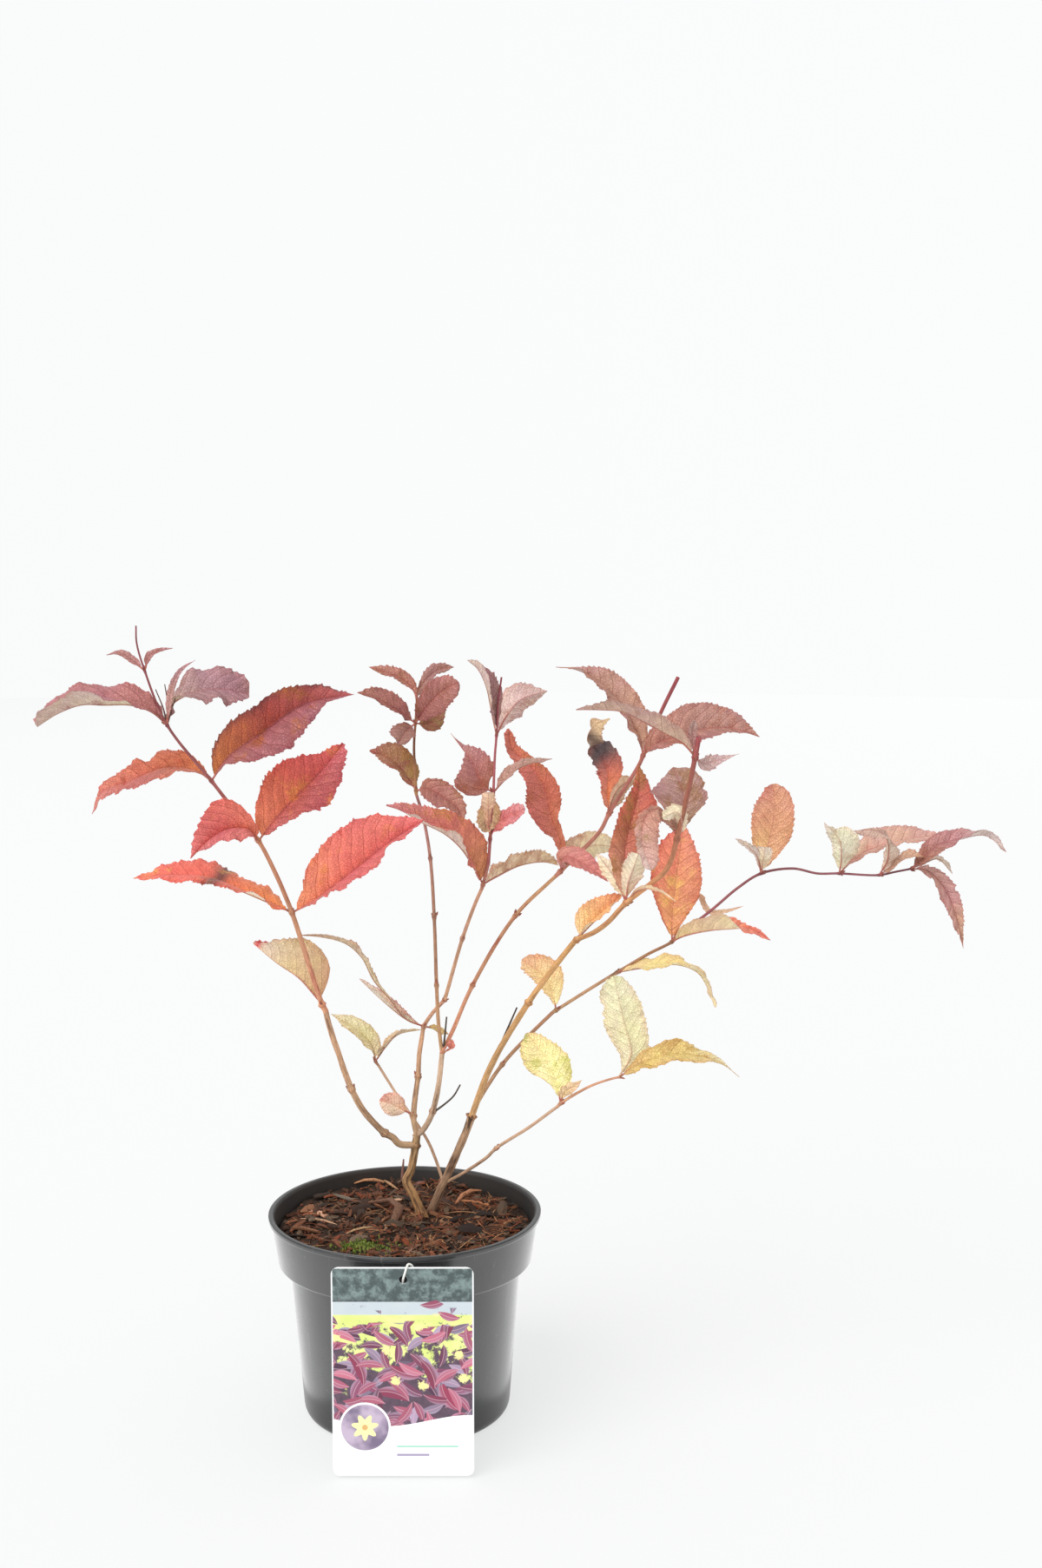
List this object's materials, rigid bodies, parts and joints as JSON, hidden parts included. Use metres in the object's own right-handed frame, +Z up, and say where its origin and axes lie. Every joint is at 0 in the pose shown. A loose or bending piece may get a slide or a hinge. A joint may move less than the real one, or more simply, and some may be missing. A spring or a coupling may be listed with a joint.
{
  "type": "potted flowering shrub",
  "caption": "Small bush honeysuckle in autumn leaf, its woody stems and thin shoots rising from bark compost in a round black nursery pot with a plant card.",
  "frame": {"origin": "centre of the pot's flat underside", "axes": "+Z up, +X to the right and +Y to the back, seen from the side that the plant card faces"},
  "size_m": [0.5644, 0.215, 0.4937],
  "materials": {
    "pot": "glossy black moulded plastic, scuffed",
    "compost": "damp bark chips and fibre",
    "plant_card": "printed card",
    "card_hook": "white plastic",
    "old_wood": "ridged grey-brown bark",
    "young_wood": "smooth tan to red-brown bark",
    "dead_wood": "dry grey-black",
    "foliage": "matt autumn leaves"
  },
  "bodies": {
    "root": {"bough_back": "young_wood", "bough_left": "young_wood", "bough_middle": "young_wood", "card_hook": "card_hook", "compost": "compost", "dead_twig_long": "dead_wood", "dead_twig_low": "dead_wood", "dead_twig_short": "dead_wood", "foliage_centre_low": "foliage", "foliage_centre_top": "foliage", "foliage_far": "foliage", "foliage_far_right": "foliage", "foliage_front": "foliage", "foliage_inner": "foliage", "foliage_left_low": "foliage", "foliage_left_top": "foliage", "foliage_low_left": "foliage", "foliage_low_right": "foliage", "foliage_right_top": "foliage", "foliage_tall": "foliage", "leaf_bud": "foliage", "leaf_low": "foliage", "plant_card": "plant_card", "pot": "pot", "shoot_centre": "young_wood", "shoot_far": "young_wood", "shoot_front": "young_wood", "shoot_low_left": "young_wood", "shoot_low_right": "young_wood", "shoot_right": "young_wood", "shoot_tall": "young_wood", "trunk_left": "old_wood", "trunk_right": "old_wood"}
  },
  "joints": []
}
